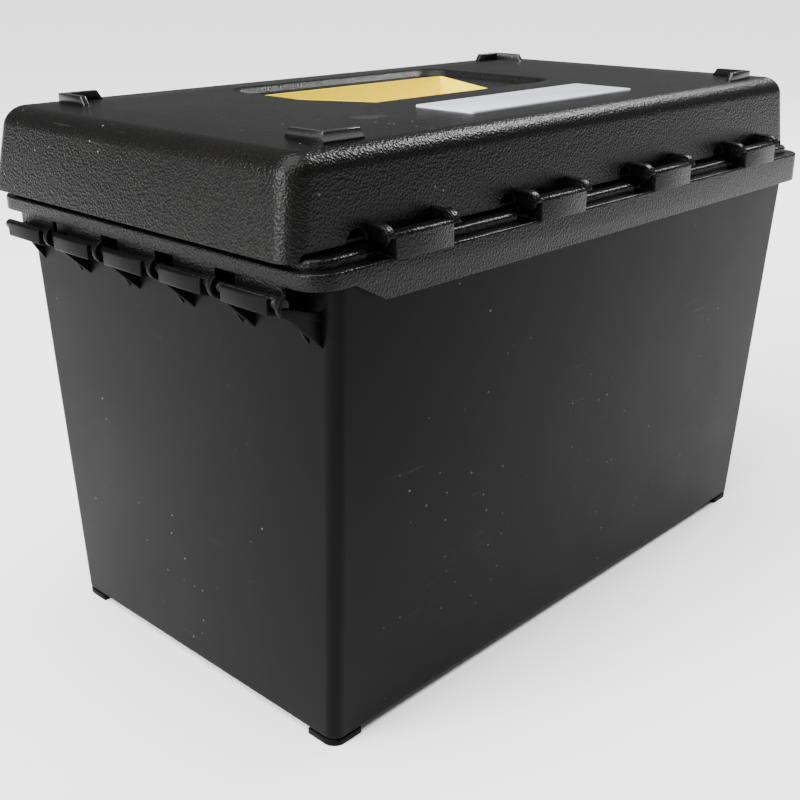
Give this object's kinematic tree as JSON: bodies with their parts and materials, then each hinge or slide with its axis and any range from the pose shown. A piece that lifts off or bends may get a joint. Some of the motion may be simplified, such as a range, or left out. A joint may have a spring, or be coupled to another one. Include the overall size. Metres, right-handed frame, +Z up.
{
  "type": "archery accessory box",
  "caption": "Lidded carry tub with a tray that swings on a moulded end rail and a domed lid on pinned rear knuckles, with a keystone cup and bare label plate in the lid",
  "frame": {"origin": "centre of the closed box's outline at the level its feet stand on", "axes": "+X along the box toward its right end, away from the knuckle rail; -Y toward the rear side that carries the lid hinge; +Z up"},
  "size_m": [0.414, 0.241, 0.28],
  "materials": {
    "smooth_black": "smooth satin moulding",
    "grained_black": "fine leather grain",
    "grained_lid": "fine leather grain",
    "silver_label": "satin silver-white, bare",
    "yellow": "smooth",
    "steel_pin": "plain"
  },
  "bodies": {
    "tub_body": {"tub": "smooth_black"},
    "tray_body": {"compartment_tray": "grained_black", "lid_hinge_pin_1": "steel_pin", "lid_hinge_pin_2": "steel_pin", "lid_hinge_pin_3": "steel_pin", "lid_hinge_pin_4": "steel_pin", "long_divider": "grained_black", "rear_divider_1": "grained_black", "rear_divider_2": "grained_black", "rear_divider_3": "grained_black", "front_divider_1": "grained_black", "front_divider_2": "grained_black"},
    "lid_body": {"lid": "grained_lid", "label_plate": "silver_label", "accessory_cup": "yellow"}
  },
  "joints": [
    {"name": "tray_hinge", "type": "hinge", "parent": "tub_body", "child": "tray_body", "pos_m": [-0.20213, 0, 0.2194], "axis": [0, -1, 0], "range_deg": [0, 80]},
    {"name": "lid_hinge", "type": "hinge", "parent": "tray_body", "child": "lid_body", "pos_m": [0, -0.1147, 0.2391], "axis": [1, 0, 0], "range_deg": [0, 105]}
  ]
}
